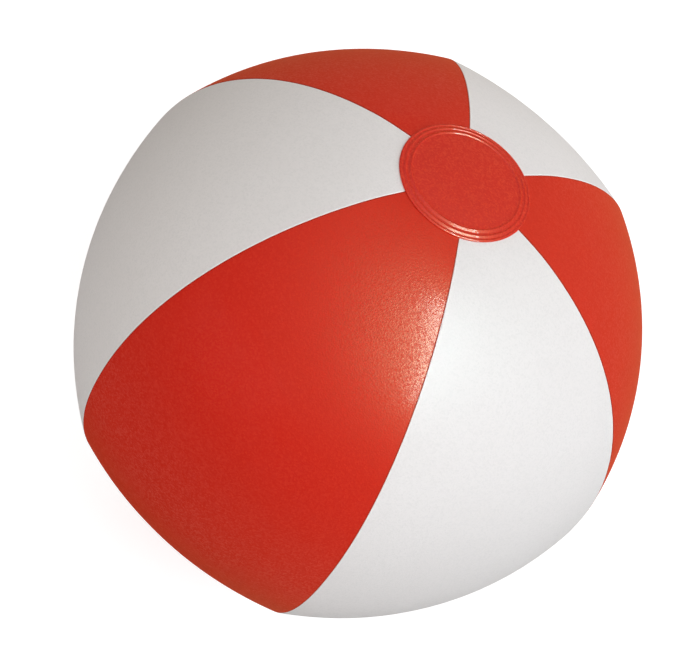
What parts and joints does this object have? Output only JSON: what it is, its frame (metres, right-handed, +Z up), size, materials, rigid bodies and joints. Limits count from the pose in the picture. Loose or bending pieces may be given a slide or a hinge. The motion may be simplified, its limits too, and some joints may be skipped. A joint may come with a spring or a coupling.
{
  "type": "inflatable beach ball",
  "caption": "Round inflatable ball of red and white welded vinyl panels, with ribbed polar caps and a push-in inflation valve.",
  "frame": {"origin": "middle of the flat of the lower cap that the ball stands on", "axes": "+Z up through both poles, -Y towards the middle of the first red panel, +Y towards the middle of the white panel that carries the valve"},
  "size_m": [0.2644, 0.256, 0.2448],
  "materials": {
    "red_vinyl": "satin",
    "white_vinyl": "satin",
    "cap_vinyl": "satin",
    "valve_vinyl": "satin",
    "flap_film": "satin"
  },
  "bodies": {
    "ball": {"panel_1_red": "red_vinyl", "panel_2_white": "white_vinyl", "panel_3_red": "red_vinyl", "panel_4_white": "white_vinyl", "panel_5_red": "red_vinyl", "panel_6_white": "white_vinyl", "top_cap": "cap_vinyl", "bottom_cap": "cap_vinyl", "valve_flange": "valve_vinyl", "valve_web": "valve_vinyl"},
    "stem": {"valve_stem": "valve_vinyl", "stopper_strap": "valve_vinyl"},
    "stopper": {"stopper": "valve_vinyl"},
    "flap": {"check_flap": "flap_film"}
  },
  "joints": [
    {"name": "valve_pull", "type": "slide", "parent": "ball", "child": "stem", "axis": [0, 0.9267, -0.3759], "range_m": [0, 0.009], "deforming": ["valve_web"]},
    {"name": "stopper_swing", "type": "hinge", "parent": "stem", "child": "stopper", "pos_m": [0, 0.11968, 0.07876], "axis": [1, 0, 0], "range_deg": [0, 110], "deforming": ["stopper_strap"]},
    {"name": "flap_swing", "type": "hinge", "parent": "stem", "child": "flap", "pos_m": [0, 0.10921, 0.08063], "axis": [-1, 0, 0], "range_deg": [0, 40]}
  ]
}
